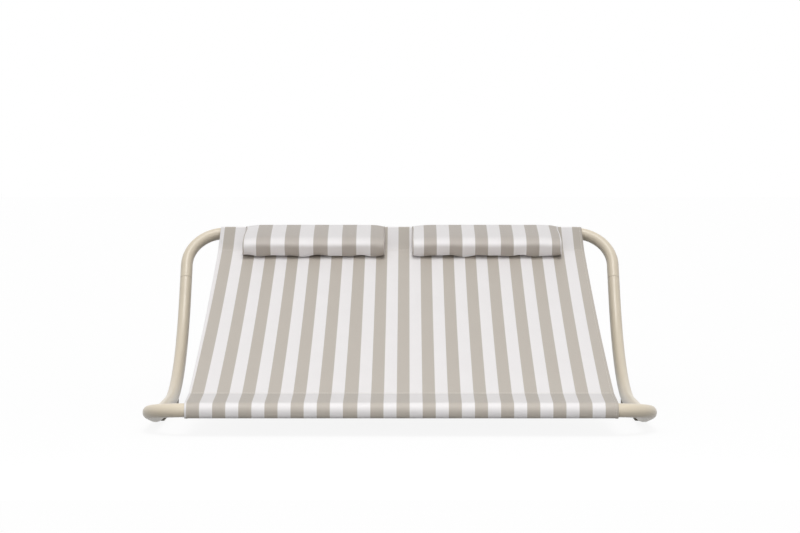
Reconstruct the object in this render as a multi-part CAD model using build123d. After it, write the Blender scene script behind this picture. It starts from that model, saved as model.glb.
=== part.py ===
from build123d import *
import math
import os

# Double chaise lounger: a low tube frame with one wide sling and two head pillows.
# Millimetres. +X to the sitter's left seen from the foot, +Y towards the head, +Z up.
# The origin is on the floor under the middle of the whole lounger.

os.makedirs("parts", exist_ok=True)

# Tube frame
tube_diameter = 38.0
tube_wall = 1.5
rail_spacing = 1374.0
corner_radius = 120.0
bar_run = 1400.0
bar_rise = 435.0
foot_drop = 47.8
foot_slope = 8.9
floor_bend_radius = 900.0
leg_slope = 56.0
leg_straight = 114.0
seam_below_bend = 52.0
seam_chamfer = 0.5
foot_seam_distance = 170.0

# Spigots inside the seams
spigot_length = 80.0
spigot_wall = 2.0
spigot_gap = 0.15

# Screws and rivet nuts at the leg seams
screw_diameter = 6.0
screw_length = 13.0
screw_head_diameter = 11.0
screw_head_height = 3.2
screw_socket_width = 4.0
screw_socket_depth = 1.8
screw_offset = 24.0
screw_hole_gap = 0.25
nut_diameter = 9.0
nut_length = 9.0
nut_gap = 0.1

# Spring buttons at the foot bar seams
button_diameter = 8.0
button_proud = 0.8
button_gap = 0.2
button_height = 6.0
spring_thickness = 0.8
spring_width = 9.0
spring_length = 24.0

# Glides under the floor runs
glide_thickness = 4.0
glide_width = 28.0
front_glide_past_bend = 65.0
front_glide_length = 80.0
rear_glide_past_knee = 89.0
rear_glide_length = 100.0
glide_gap = 0.15
glide_corner = 2.0
stem_diameter = 8.0
stem_length = 6.0

# Sling
sling_width = 1169.0
sling_shift = 2.0
sling_sag = 24.0
cloth_thickness = 0.8
sleeve_gap = 2.0
stitch_distance = 135.0

# Head pillows, measured down the sling from the head bar and up from the line between the bars
pillow_left_width = 450.0
pillow_left_centre = -274.0
pillow_right_width = 473.0
pillow_right_centre = 277.0
pillow_upper_end = 16.0
pillow_lower_end = 188.0
pillow_upper_height = 34.5
pillow_gusset_height = 40.5
pillow_crown = 15.0
pillow_overhang = 6.0
pillow_lower_bulge = 7.0
pillow_lean = 4.0
pillow_upper_bulge = 5.0
pillow_draw = 7.0
pillow_clearance = 0.3
cover_thickness = 1.6
fill_gap = 0.3
batt_thickness = 3.0
pillow_travel = 200.0

# Flaps and counterweights behind the head bar
flap_width = 300.0
flap_thickness = 1.0
flap_gap = 0.3
drop_length = 236.0
weight_diameter = 12.0
weight_length = 270.0
weight_gap = 0.4
pouch_neck = 20.0

# Cuts run past the faces that they open by this much
overrun = 1.0

# A pillow has this many sections on each side of its middle, closer together towards its ends.
# At its ends it keeps this share of its crown.
half_sections = 4
end_crown_share = 0.25

# Sizes worked out from the driving ones
tube_radius = tube_diameter / 2
bore_radius = tube_radius - tube_wall
half_spacing = rail_spacing / 2
sleeve_bore_radius = tube_radius + sleeve_gap
sleeve_radius = sleeve_bore_radius + cloth_thickness
flap_bore_radius = sleeve_radius + flap_gap
flap_radius = flap_bore_radius + flap_thickness
pouch_bore_radius = weight_diameter / 2 + weight_gap
pouch_radius = pouch_bore_radius + flap_thickness
drop_offset = (flap_bore_radius + flap_radius) / 2
rear_reach = drop_offset + pouch_radius

foot_y = (sleeve_radius - bar_run - rear_reach) / 2
head_y = foot_y + bar_run
floor_run_z = glide_thickness + tube_radius
foot_z = floor_run_z + foot_drop
head_z = foot_z + bar_rise
floor_corner_y = foot_y + foot_drop / math.tan(math.radians(foot_slope))
floor_bend_end_y = floor_corner_y + floor_bend_radius * math.tan(math.radians(foot_slope) / 2)
leg_angle = math.radians(leg_slope)
leg_length = (head_z - floor_run_z) / math.sin(leg_angle)
knee_y = head_y - leg_length * math.cos(leg_angle)
knee_reach = leg_length - leg_straight - corner_radius
knee_radius = knee_reach / math.tan(leg_angle / 2)
knee_start_y = knee_y - knee_reach
leg_seam_distance = corner_radius + seam_below_bend
front_glide_y = floor_bend_end_y + front_glide_past_bend
rear_glide_y = knee_start_y + rear_glide_past_knee
bar_angle = math.atan2(bar_rise, bar_run)
bar_distance = math.hypot(bar_run, bar_rise)
sag_radius = (bar_distance ** 2 / 4 + sling_sag ** 2) / (2 * sling_sag)


def save(shape, node):
    """Write one node to its own file."""
    export_step(shape, os.path.join("parts", node + ".step"))


def mirrored(shape):
    """The same piece on the other side."""
    return mirror(shape, about=Plane.YZ)


def tube_along(path, outer, inner):
    """A round tube, or a rod where inner is zero, swept along a path."""
    section = Circle(outer)
    if inner:
        section -= Circle(inner)
    start = Plane(origin=path @ 0, z_dir=path % 0)
    return sweep(start * section, path=path)


def leg_point(distance):
    """The leg's centre line at a distance down from the head corner."""
    back = distance * math.cos(leg_angle)
    down = distance * math.sin(leg_angle)
    return Vector(half_spacing, head_y - back, head_z - down)


def rail_height(y):
    """Height of the rail's centre line over its floor run and the start of the knee."""
    if y <= knee_start_y:
        return floor_run_z
    return floor_run_z + knee_radius - math.sqrt(knee_radius ** 2 - (y - knee_start_y) ** 2)


# Frame

seam_x = half_spacing - foot_seam_distance
rail_path = FilletPolyline(
    (seam_x, foot_y, foot_z),
    (half_spacing, foot_y, foot_z),
    (half_spacing, floor_corner_y, floor_run_z),
    (half_spacing, knee_y, floor_run_z),
    leg_point(leg_seam_distance),
    radius=[corner_radius, floor_bend_radius, knee_radius],
)
seam_point = leg_point(leg_seam_distance)
head_path = FilletPolyline(
    (-seam_point.X, seam_point.Y, seam_point.Z),
    (-half_spacing, head_y, head_z),
    (half_spacing, head_y, head_z),
    (seam_point.X, seam_point.Y, seam_point.Z),
    radius=corner_radius,
)
leg_up = Vector(0, math.cos(leg_angle), math.sin(leg_angle))
leg_rear = Vector(0, math.sin(leg_angle), -math.cos(leg_angle))


def screw_plane(side):
    """Plane at a leg screw, on the leg's centre line, facing rearwards."""
    return Plane(origin=seam_point + leg_up * (side * screw_offset), x_dir=(1, 0, 0), z_dir=leg_rear)


def leg_screw_cut(side, diameter):
    """A round cut from the leg's centre line out through its rear wall."""
    height = tube_radius + overrun
    cut = Cylinder(diameter / 2, height, align=(Align.CENTER, Align.CENTER, Align.MIN))
    return screw_plane(side) * cut


def glide_stem_cut(y):
    """The hole for a glide's stem in the rail's lower wall."""
    radius = stem_diameter / 2 + glide_gap
    cut = Cylinder(radius, tube_radius + overrun, align=(Align.CENTER, Align.CENTER, Align.MAX))
    return Pos(half_spacing, y, rail_height(y)) * cut


def eased_at_seam(tube):
    """The tube with the outer edges of its ends at the leg seams broken."""
    ends = [
        edge
        for edge in tube.edges().filter_by(GeomType.CIRCLE)
        if abs(edge.radius - tube_radius) < seam_chamfer
        and abs(edge.arc_center.Y - seam_point.Y) < seam_chamfer
        and abs(edge.arc_center.Z - seam_point.Z) < seam_chamfer
    ]
    return chamfer(ends, seam_chamfer)


screw_hole_diameter = screw_diameter + 2 * screw_hole_gap
rail_tube = eased_at_seam(tube_along(rail_path, tube_radius, bore_radius))
rail = rail_tube - leg_screw_cut(-1, screw_hole_diameter)
rail -= glide_stem_cut(front_glide_y)
rail -= glide_stem_cut(rear_glide_y)
save(rail, "rail_right")
save(mirrored(rail), "rail_left")

head_tube = eased_at_seam(tube_along(head_path, tube_radius, bore_radius))
upper_hole = leg_screw_cut(1, screw_hole_diameter)
head_tube = head_tube - upper_hole - mirrored(upper_hole)
save(head_tube, "head_tube")

# Foot bar with its two spring button holes

button_x = seam_x - screw_offset
button_hole = Cylinder(
    button_diameter / 2 + button_gap,
    tube_radius + overrun,
    align=(Align.CENTER, Align.CENTER, Align.MAX),
)
button_cut = Pos(button_x, foot_y, foot_z) * button_hole
foot_bar_axis = Line((-seam_x, foot_y, foot_z), (seam_x, foot_y, foot_z))
foot_bar = tube_along(foot_bar_axis, tube_radius, bore_radius) - button_cut - mirrored(button_cut)
save(foot_bar, "foot_bar")

# Spigots

spigot_radius = bore_radius - spigot_gap
spigot_bore = spigot_radius - spigot_wall
spigot_half = leg_up * (spigot_length / 2)
head_spigot_axis = Line(seam_point - spigot_half, seam_point + spigot_half)
head_spigot = tube_along(head_spigot_axis, spigot_radius, spigot_bore)
for side in (-1, 1):
    head_spigot -= leg_screw_cut(side, nut_diameter + 2 * nut_gap)
save(head_spigot, "head_spigot_right")
save(mirrored(head_spigot), "head_spigot_left")

foot_spigot_axis = Line(
    (seam_x - spigot_length / 2, foot_y, foot_z),
    (seam_x + spigot_length / 2, foot_y, foot_z),
)
foot_spigot = tube_along(foot_spigot_axis, spigot_radius, spigot_bore) - button_cut
save(foot_spigot, "foot_spigot_right")
save(mirrored(foot_spigot), "foot_spigot_left")

# Screws with domed heads, and the rivet nuts that they turn into


def leg_screw(side):
    """One screw, its head seated on the leg's rear wall."""
    shank = Pos(0, 0, tube_radius - screw_length) * Cylinder(
        screw_diameter / 2, screw_length, align=(Align.CENTER, Align.CENTER, Align.MIN)
    )
    dome_radius = ((screw_head_diameter / 2) ** 2 + screw_head_height ** 2) / (2 * screw_head_height)
    dome = Pos(0, 0, tube_radius + screw_head_height - dome_radius) * Sphere(dome_radius)
    head = Pos(0, 0, tube_radius) * Cylinder(
        screw_head_diameter / 2, screw_head_height, align=(Align.CENTER, Align.CENTER, Align.MIN)
    )
    socket_floor = tube_radius + screw_head_height - screw_socket_depth
    socket = Pos(0, 0, socket_floor) * extrude(
        RegularPolygon(screw_socket_width / 2, 6, major_radius=False), screw_socket_depth + overrun
    )
    return screw_plane(side) * (shank + (head & dome) - socket)


def rivet_nut(side):
    """One rivet nut in the spigot's wall."""
    ring = Circle(nut_diameter / 2) - Circle(screw_diameter / 2 + nut_gap)
    top = math.sqrt(spigot_radius ** 2 - (nut_diameter / 2) ** 2)
    return screw_plane(side) * (Pos(0, 0, top - nut_length) * extrude(ring, nut_length))


right_screws = [leg_screw(-1), leg_screw(1)]
save(Compound(right_screws + [mirrored(one) for one in right_screws]), "leg_joint_screws")
right_nuts = [rivet_nut(-1), rivet_nut(1)]
save(Compound(right_nuts + [mirrored(one) for one in right_nuts]), "leg_rivet_nuts")


def spring_button():
    """A button on a bent leaf spring that pushes it out through the foot bar's lower wall."""
    low = -tube_radius - button_proud
    button = Pos(0, 0, low) * Cylinder(
        button_diameter / 2, button_height, align=(Align.CENTER, Align.CENTER, Align.MIN)
    )
    button = fillet(button.faces().sort_by(Axis.Z)[0].edges(), button_proud / 2)
    base = low + button_height
    top = math.sqrt(spigot_bore ** 2 - (spring_width / 2) ** 2) - spring_thickness
    leaf_line = Polyline(
        (button_diameter / 2, base),
        (-spring_length, base),
        (-spring_length - spring_thickness * 3, (base + top) / 2),
        (-spring_length / 2, top),
        (0, top),
    )
    leaf = extrude(Plane.XZ * trace(leaf_line, line_width=spring_thickness), spring_width / 2, both=True)
    return Pos(button_x, foot_y, foot_z) * (button + leaf)


right_button = spring_button()
save(Compound([right_button, mirrored(right_button)]), "foot_spring_buttons")

# Glides: pads that carry the rails on the floor, each on a stem


def glide(rail_y, length):
    """A pad under the right rail, its top cut to the tube's curve."""
    top = rail_height(rail_y)
    block = Pos(half_spacing, rail_y, 0) * Box(
        glide_width, length, top, align=(Align.CENTER, Align.CENTER, Align.MIN)
    )
    pad = fillet(block.edges().filter_by(Axis.Z), glide_corner)
    pad = chamfer(pad.faces().sort_by(Axis.Z)[0].edges(), glide_corner / 2)
    pad -= tube_along(rail_path, tube_radius + glide_gap, 0)
    stem_foot = rail_height(rail_y) - tube_radius - glide_thickness / 2
    stem_height = stem_length + glide_thickness / 2
    stem = Pos(half_spacing, rail_y, stem_foot) * Cylinder(
        stem_diameter / 2, stem_height, align=(Align.CENTER, Align.CENTER, Align.MIN)
    )
    return pad + stem


for place, rail_y, length in (
    ("front", front_glide_y, front_glide_length),
    ("rear", rear_glide_y, rear_glide_length),
):
    pad = glide(rail_y, length)
    save(pad, "glide_" + place + "_right")
    save(mirrored(pad), "glide_" + place + "_left")

# Sling. Its section is drawn in a frame whose first axis runs down the sling from the head
# bar to the foot bar, and whose second stands up from the line between them.

down = Vector(0, -math.cos(bar_angle), -math.sin(bar_angle))
up = Vector(0, -math.sin(bar_angle), math.cos(bar_angle))
head_centre = Vector(0, head_y, head_z)


def sling_point(along, above, x=0.0):
    """The place that lies so far down the sling and so far above the line between the bars."""
    return head_centre + down * along + up * above + Vector(x, 0, 0)


def sheet_height(along):
    """The sagging sheet's middle line, above the line between the bars."""
    middle = along - bar_distance / 2
    return sag_radius - sling_sag - math.sqrt(sag_radius ** 2 - middle ** 2)


def sheet_angle(along):
    """The sheet's slope there against the line between the bars, in radians."""
    return math.asin((bar_distance / 2 - along) / sag_radius)


def polar(centre, radius, angle):
    """A point of the section by its angle round a centre."""
    return (centre[0] + radius * math.cos(angle), centre[1] + radius * math.sin(angle))


def loop_face(centre, tip, radius):
    """A round loop drawn out to a tip, the shape of cloth pulled round a bar."""
    reach = math.hypot(tip[0] - centre[0], tip[1] - centre[1])
    heading = math.atan2(tip[1] - centre[1], tip[0] - centre[0])
    spread = math.acos(radius / reach)
    first = polar(centre, radius, heading + spread)
    last = polar(centre, radius, heading - spread)
    back = polar(centre, radius, heading + math.pi)
    points = [sling_point(*place) for place in (tip, first, back, last)]
    edges = [
        Edge.make_line(points[0], points[1]),
        Edge.make_three_point_arc(points[1], points[2], points[3]),
        Edge.make_line(points[3], points[0]),
    ]
    return Face(Wire(edges))


def loop_band(centre, tip, inner, outer):
    """The cloth of such a loop, of even thickness."""
    share = inner / outer
    inner_tip = tuple(c + (t - c) * share for c, t in zip(centre, tip))
    return loop_face(centre, tip, outer) - loop_face(centre, inner_tip, inner)


def sheet_face(start, end):
    """The single cloth between two places down the sling."""
    half = cloth_thickness / 2
    middle = (start + end) / 2
    upper = [sling_point(place, sheet_height(place) + half) for place in (start, middle, end)]
    lower = [sling_point(place, sheet_height(place) - half) for place in (start, middle, end)]
    edges = [
        Edge.make_three_point_arc(*upper),
        Edge.make_line(upper[2], lower[2]),
        Edge.make_three_point_arc(lower[2], lower[1], lower[0]),
        Edge.make_line(lower[0], upper[0]),
    ]
    return Face(Wire(edges))


def across(face, centre_x, width):
    """A section made into a piece that runs across the lounger."""
    solid = extrude(face, width / 2, dir=(1, 0, 0), both=True)
    return Pos(centre_x, 0, 0) * solid


foot_stitch = bar_distance - stitch_distance
head_tip = (stitch_distance, sheet_height(stitch_distance))
foot_tip = (foot_stitch, sheet_height(foot_stitch))
seam_overlap = cloth_thickness * 3
sling_face = sheet_face(stitch_distance - seam_overlap, foot_stitch + seam_overlap)
sling_face += loop_band((0, 0), head_tip, sleeve_bore_radius, sleeve_radius)
sling_face += loop_band((bar_distance, 0), foot_tip, sleeve_bore_radius, sleeve_radius)
sling = across(sling_face, sling_shift, sling_width)
save(sling, "sling")

# Head pillows: a crowned box with a gusset, cut to the sleeve and the sling under it

sleeve_heading = math.atan2(head_tip[1], head_tip[0])
sleeve_spread = math.acos(sleeve_radius / math.hypot(*head_tip))
sleeve_top = polar((0, 0), sleeve_radius, sleeve_heading + sleeve_spread)
sleeve_fall = (head_tip[1] - sleeve_top[1]) / (head_tip[0] - sleeve_top[0])


def seat_height(along):
    """The height that a pillow rests at, over the sleeve or over the sheet past it."""
    clear = cloth_thickness / 2 + pillow_clearance
    if along >= stitch_distance:
        return sheet_height(along) + clear
    return sleeve_top[1] + sleeve_fall * (along - sleeve_top[0]) + clear


def pillow_wire(x, end_share, inset):
    """One section of a pillow, inset by so much, drawn in and lowered by its share of an end."""
    draw = pillow_draw * end_share + inset
    crown_share = 1 - (1 - end_crown_share) * end_share
    upper_end = pillow_upper_end + draw
    lower_end = pillow_lower_end - draw
    base = seat_height(upper_end) + inset
    foot = seat_height(lower_end) + inset
    gusset = pillow_gusset_height - 2 * inset - pillow_draw * end_share / 2
    ridge = (lower_end + pillow_overhang, foot + gusset)
    brow = (upper_end - pillow_lean, pillow_upper_height - inset - pillow_draw * end_share / 2)
    crown_along = (ridge[0] + brow[0]) / 2
    crown_above = (ridge[1] + brow[1]) / 2 + pillow_crown * crown_share
    lower_middle = ((lower_end + ridge[0]) / 2 + pillow_lower_bulge, (foot + ridge[1]) / 2)
    upper_middle = ((upper_end + brow[0]) / 2 - pillow_upper_bulge, (base + brow[1]) / 2)
    knee = (stitch_distance, seat_height(stitch_distance) + inset)
    places = (
        (upper_end, base),
        knee,
        (lower_end, foot),
        lower_middle,
        ridge,
        (crown_along, crown_above),
        brow,
        upper_middle,
    )
    points = [sling_point(*place, x) for place in places]
    edges = [
        Edge.make_line(points[0], points[1]),
        Edge.make_line(points[1], points[2]),
        Edge.make_three_point_arc(points[2], points[3], points[4]),
        Edge.make_three_point_arc(points[4], points[5], points[6]),
        Edge.make_three_point_arc(points[6], points[7], points[0]),
    ]
    return Wire(edges)


def pillow_solid(centre_x, width, inset):
    """A pillow's form from sections across its width, its crown and ends falling off smoothly."""
    half = width / 2 - inset
    wires = []
    for step in range(-half_sections, half_sections + 1):
        station = math.sin(math.pi / 2 * step / half_sections)
        wires.append(pillow_wire(centre_x + half * station, station ** 6, inset))
    return Solid.make_loft(wires, ruled=True)


def flap_front_face():
    """The short run of flap between the head bar and the pillow's upper end."""
    low = flap_gap
    high = flap_gap + flap_thickness
    start = sleeve_top[0] + flap_gap
    end = pillow_upper_end + pillow_draw - flap_gap
    places = []
    for along, lift in ((start, low), (end, low), (end, high), (start, high)):
        level = sleeve_top[1] + sleeve_fall * (along - sleeve_top[0])
        places.append(sling_point(along, level + lift))
    return Face(Wire.make_polygon(places))


def flap_wrap_face():
    """The flap where it lies round the head bar, from the pillow's side to the rear."""
    first = sleeve_heading + sleeve_spread
    last = math.pi + bar_angle
    middle = (first + last) / 2
    outer = [sling_point(*polar((0, 0), flap_radius, turn)) for turn in (first, middle, last)]
    inner = [sling_point(*polar((0, 0), flap_bore_radius, turn)) for turn in (first, middle, last)]
    edges = [
        Edge.make_three_point_arc(*outer),
        Edge.make_line(outer[2], inner[2]),
        Edge.make_three_point_arc(inner[2], inner[1], inner[0]),
        Edge.make_line(inner[0], outer[0]),
    ]
    return Face(Wire(edges))


def flap_drop_solid(centre_x):
    """The flap's free run that hangs behind the head bar."""
    drop = Box(
        flap_width, flap_thickness, drop_length - pouch_neck, align=(Align.CENTER, Align.CENTER, Align.MAX)
    )
    return Pos(centre_x, head_y + drop_offset, head_z - flap_gap) * drop


def pouch_loop(radius, width):
    """A drawn-out loop round the counterweight, hanging from its tip."""
    reach = pouch_neck * radius / pouch_radius
    spread = math.acos(radius / reach)
    first = (radius * math.sin(spread), radius * math.cos(spread))
    edges = [
        Edge.make_line((0, 0, reach), (0, first[0], first[1])),
        Edge.make_three_point_arc((0, first[0], first[1]), (0, 0, -radius), (0, -first[0], first[1])),
        Edge.make_line((0, -first[0], first[1]), (0, 0, reach)),
    ]
    return extrude(Face(Wire(edges)), width / 2, dir=(1, 0, 0), both=True)


weight_z = head_z - flap_gap - drop_length
for place, centre_x, width in (
    ("left", pillow_left_centre, pillow_left_width),
    ("right", pillow_right_centre, pillow_right_width),
):
    outer = pillow_solid(centre_x, width, 0)
    cover = outer - pillow_solid(centre_x, width, cover_thickness)
    save(cover, "pillow_cover_" + place)
    batt_inset = cover_thickness + fill_gap
    batt = pillow_solid(centre_x, width, batt_inset)
    batt -= pillow_solid(centre_x, width, batt_inset + batt_thickness)
    save(batt, "pillow_fill_" + place)
    save(across(flap_front_face(), centre_x, flap_width) - outer, "flap_front_" + place)
    save(across(flap_wrap_face(), centre_x, flap_width), "flap_wrap_" + place)
    save(flap_drop_solid(centre_x), "flap_drop_" + place)
    pouch_cavity = pouch_loop(pouch_bore_radius, flap_width - 2 * flap_thickness)
    pouch = pouch_loop(pouch_radius, flap_width) - pouch_cavity
    rest = Pos(centre_x, head_y + drop_offset, weight_z)
    save(rest * pouch, "weight_pouch_" + place)
    weight_rod = Rot(0, 90, 0) * Cylinder(weight_diameter / 2, weight_length)
    save(rest * weight_rod, "weight_bar_" + place)

# Where a pillow slides to: along the chord of the sheet under its lower end

slide_middle = pillow_lower_end + pillow_travel / 2
slide_angle = bar_angle + sheet_angle(slide_middle)
print("pillow slide axis", 0, round(-math.cos(slide_angle), 6), round(-math.sin(slide_angle), 6))
print("knee radius", round(knee_radius, 2))
print("foot bar", round(foot_y, 3), round(foot_z, 3), "head bar", round(head_y, 3), round(head_z, 3))
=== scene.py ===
import math

import bpy
import numpy as np
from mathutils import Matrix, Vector


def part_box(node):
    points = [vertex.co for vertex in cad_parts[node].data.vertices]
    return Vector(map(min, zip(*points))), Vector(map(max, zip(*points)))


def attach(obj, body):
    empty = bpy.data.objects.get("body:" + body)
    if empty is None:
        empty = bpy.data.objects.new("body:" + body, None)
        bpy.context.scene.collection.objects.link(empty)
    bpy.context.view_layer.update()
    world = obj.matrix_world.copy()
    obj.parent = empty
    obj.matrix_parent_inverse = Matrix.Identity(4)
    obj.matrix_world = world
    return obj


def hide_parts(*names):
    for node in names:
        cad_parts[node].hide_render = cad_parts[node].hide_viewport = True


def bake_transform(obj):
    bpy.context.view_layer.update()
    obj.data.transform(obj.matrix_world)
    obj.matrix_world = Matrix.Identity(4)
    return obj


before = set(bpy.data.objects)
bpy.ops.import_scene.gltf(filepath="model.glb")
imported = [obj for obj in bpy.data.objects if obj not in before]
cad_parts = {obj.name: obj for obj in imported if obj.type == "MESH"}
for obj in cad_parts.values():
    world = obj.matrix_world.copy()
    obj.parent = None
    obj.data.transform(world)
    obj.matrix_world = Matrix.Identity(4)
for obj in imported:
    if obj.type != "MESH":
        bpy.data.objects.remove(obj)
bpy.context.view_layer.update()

# Double chaise lounger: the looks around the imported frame. Metres, in the frame's own axes.
# The sling and the pillows are drawn in a section frame: one axis runs down the sling from the
# head bar to the foot bar, the other stands up from the line between them.

millimetre = 0.001

# Cloth
cloth_thickness = 0.0009
layer_gap = 1.05 * cloth_thickness
hem_thickness = 0.0017
hem_width = 0.0078
hem_blend = 0.0008
sleeve_clearance = 0.0017
stitch_distance = 0.135
sleeve_hem = 0.014
sleeve_slack = 0.13
slack_turn = -0.53
slack_spread = 0.38
fold_reach = 0.008
sling_aside = 0.0025
stripe_count = 33
stripe_blur = 0.0010
yarn_pitch = 0.0016
groove_depth = 0.00030
groove_width = 0.0011
row_depth = 0.00035
row_width = 0.0022
ripple_height = 0.0007
ripple_waves = ((0.45, 41, 0.7, 1.3), (0.35, 23, -1.1, 0.0), (0.20, 78, 0.0, 4.0))

# Shades of the cloth: painted shade over the sleeves and on the pillows, a painted highlight along the
# pillows' ridges, painted shade in the weave's hollows, and the yarns' own unevenness
# painted shade over the sleeves, where the cloth lies double and no light comes through it; at the head
# it fades out into the pillows' shadow
sleeve_painted_shade_head = 0.85
sleeve_painted_shade_foot = 0.875
painted_shade_blend_head = 0.040
painted_shade_blend = 0.003
# painted shade on the pillows' tops and fronts, and a painted highlight along their ridges
pillow_top_painted_shade = 0.905
pillow_front_painted_shade = 0.965
pillow_ridge_painted_highlight = 1.04
highlight_front_band = (-0.018, 0.003)
highlight_back_band = (0.006, 0.046)
yarn_shades = (0.955, 1.045)
cloud_shades = (0.98, 1.02)
# painted shade in the hollows of the weave
weave_hollow_shades = (0.975, 1.02)

# The woven stripes run a little askew, and the one over this place is wider than the others
drift_middle = 0.620
drift_left = 0.0013
drift_left_slope = -0.0052
drift_right = 0.0033
drift_right_slope = -0.0032
wide_stripe_start = -0.150
wide_stripe_width = 0.035

# Stitching
stitch_length = 0.0034
stitch_pitch = 0.0044
stitch_radius = 0.00042
row_spacing = 0.009
row_inset = 0.0015
hem_row = 0.0068

# Tube bends beside the sling, and the line where the leg tubes meet
corner_radius = 0.120
foot_slope = math.radians(8.9)
seam_half = 0.0007
seam_darkness = 0.45

# Pillows
pillow_upper_end = 0.016
pillow_lower_end = 0.188
pillow_upper_height = 0.0430
pillow_gusset_height = 0.0568
pillow_crown = 0.012
crown_place = 0.22
crown_fall_power = 1.5
pillow_seam_forward = 0.021
pillow_seam_rise = 0.0075
seam_rise_power = 1.6
pillow_contact_back = 0.012
pillow_overhang = 0.031
pillow_lower_bulge = 0.009
pillow_lean = 0.004
pillow_upper_bulge = 0.005
pillow_draw = 0.007
front_end_draw = 0.002
brow_end_draw = 0.0105
brow_fall_power = 1.6
pillow_inset = 0.0010
end_crown_share = 0.25
end_bulge = 0.003
end_draw_power = 10
end_lean_power = 14
lean_reach = 0.13
lean_height = 0.030
lean_least = 0.3
seat_gap = 0.0004
held_height = 0.0025
smoothing_turns = 11
even_turns = 3
ridge_softness = 4.5
piping_radius = 0.0017
seam_radius = 0.0014
piping_stripe = 1.5
pillow_looks = {
    "left": dict(leans=(0.0065, 0.0020), start=-0.0015, pitch=0.0453, last_stripe=9.6, phase=0.4),
    "right": dict(leans=(0.0020, 0.0065), start=-0.0044, pitch=0.0406, last_stripe=12.4, phase=2.2),
}

# Filling of the pillows
filling_settings = {
    "quality": 6,
    "mass": 0.2,
    "tension_stiffness": 12,
    "compression_stiffness": 12,
    "shear_stiffness": 4,
    "bending_stiffness": 0.3,
    "use_pressure": True,
    "uniform_pressure_force": 4,
    "vertex_group_mass": "held",
    "pin_stiffness": 1,
}
filling_frames = 20
filling_reach = 0.006
sideways_share = 0.3
smoothing_rounds = 8
edge_waves = ((1.0, 52, 0.0, 1.0), (0.7, 87, 0.0, 2.1), (0.4, 31, 0.4, 0.0))
edge_wave_height = 0.0024
ridge_waves = ((1.0, 64, 0.0, 2.0), (0.8, 109, 0.0, 1.0))
ridge_wave_reach = 0.0006
top_wave_height = 0.0005
front_band = (0.150, 0.030)
low_band = (0.009, 0.018)
high_band = (0.014, 0.020)

# Flaps, pouches and counterweights behind the head bar
flap_width = 0.300
flap_thickness = 0.0010
flap_hem_extra = 0.0006
flap_gap = 0.0003
flap_tuck = 0.008
blend_inset = 0.002
drop_bow = 0.0008
pouch_neck = 0.020
pouch_mouth = 0.0010
pouch_radius = 0.0074
pouch_flat = 0.0010
pouch_even = 0.88
pouch_taper_start = 0.895
pouch_taper = 0.075

# Fineness of the meshes
loop_points = 31
fold_points = 8
half_sheet_points = 62
sling_columns = 140
station_spacing = 0.0125
station_gathering = 0.35
along_cells = 34
height_cells = 9
ridge_number = along_cells + height_cells
ring_size = 2 * ridge_number
cord_sides = 8
flap_columns = 26
wrap_points = 25
front_points = 17
drop_points = 33
pouch_arc_points = 12
pouch_end_points = 9
pouch_middle_points = 15

# Flat places of the pillows' ends, piping and seam cords
end_flat_inset = 0.003
end_flat_rise = 0.0005
cell_flat = 0.005
seam_flat = 0.001

# Stage
white = (1.0, 1.0, 1.0, 1.0)
floor_grey = (0.16, 0.16, 0.16, 1.0)

# Places that the frame gives
foot_low, foot_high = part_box("foot_bar")
head_low, head_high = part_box("head_tube")
tube_radius = (foot_high.z - foot_low.z) / 2
foot_centre = np.array([0.0, (foot_low.y + foot_high.y) / 2, (foot_low.z + foot_high.z) / 2])
head_centre = np.array([0.0, head_high.y - tube_radius, head_high.z - tube_radius])
half_spacing = head_high.x - tube_radius
bend_start = half_spacing - corner_radius
chord = foot_centre - head_centre
bar_distance = float(np.linalg.norm(chord))
down = chord / bar_distance
up = np.array([0.0, down[2], -down[1]])
bar_angle = math.atan2(-down[2], -down[1])


def middle_of(node):
    """The middle of a node's box."""
    low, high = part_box(node)
    return np.array((low + high) / 2)


leg_seam = middle_of("head_spigot_right")
leg_down = leg_seam - head_centre
leg_down[0] = 0.0
leg_down /= np.linalg.norm(leg_down)
run_back = np.array([0.0, math.cos(foot_slope), -math.sin(foot_slope)])

sling_low, sling_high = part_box("sling")
sling_width = sling_high.x - sling_low.x
sling_left = sling_low.x + sling_aside
stripe_pitch = (sling_width - hem_width) / stripe_count


def sling_sag():
    """How far the sheet's middle hangs below the line between the bars."""
    points = np.array([v.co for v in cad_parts["sling"].data.vertices]) - head_centre
    along = points @ down
    central = np.abs(along - bar_distance / 2) < bar_distance / 4
    return -float((points[central] @ up).min()) - cloth_thickness / 2


sag = sling_sag()
sag_radius = (bar_distance ** 2 / 4 + sag ** 2) / (2 * sag)
loop_radius = tube_radius + sleeve_clearance + cloth_thickness / 2


def sheet_height(along):
    """The sheet's middle surface, above the line between the bars."""
    return sag_radius - sag - np.sqrt(sag_radius ** 2 - (np.asarray(along) - bar_distance / 2) ** 2)


def in_place(along, above, x):
    """Places of the section frame, as points of the lounger."""
    along, above, x = np.broadcast_arrays(along, above, x)
    points = head_centre + along[..., None] * down + above[..., None] * up
    points[..., 0] += x
    return points


def smooth_step(value):
    """0 below 0, 1 above 1, and smooth between."""
    share = np.clip(value, 0, 1)
    return share * share * (3 - 2 * share)


def risen(value, start, width):
    """0 before the start, 1 a width further on, and smooth between."""
    return smooth_step((value - start) / width)


def unit(vectors):
    """Vectors brought to length 1."""
    return vectors / np.linalg.norm(vectors, axis=-1, keepdims=True)


# Mesh building


def add_object(name, data):
    """A new object in the scene."""
    made = bpy.data.objects.new(name, data)
    bpy.context.scene.collection.objects.link(made)
    return made


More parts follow.
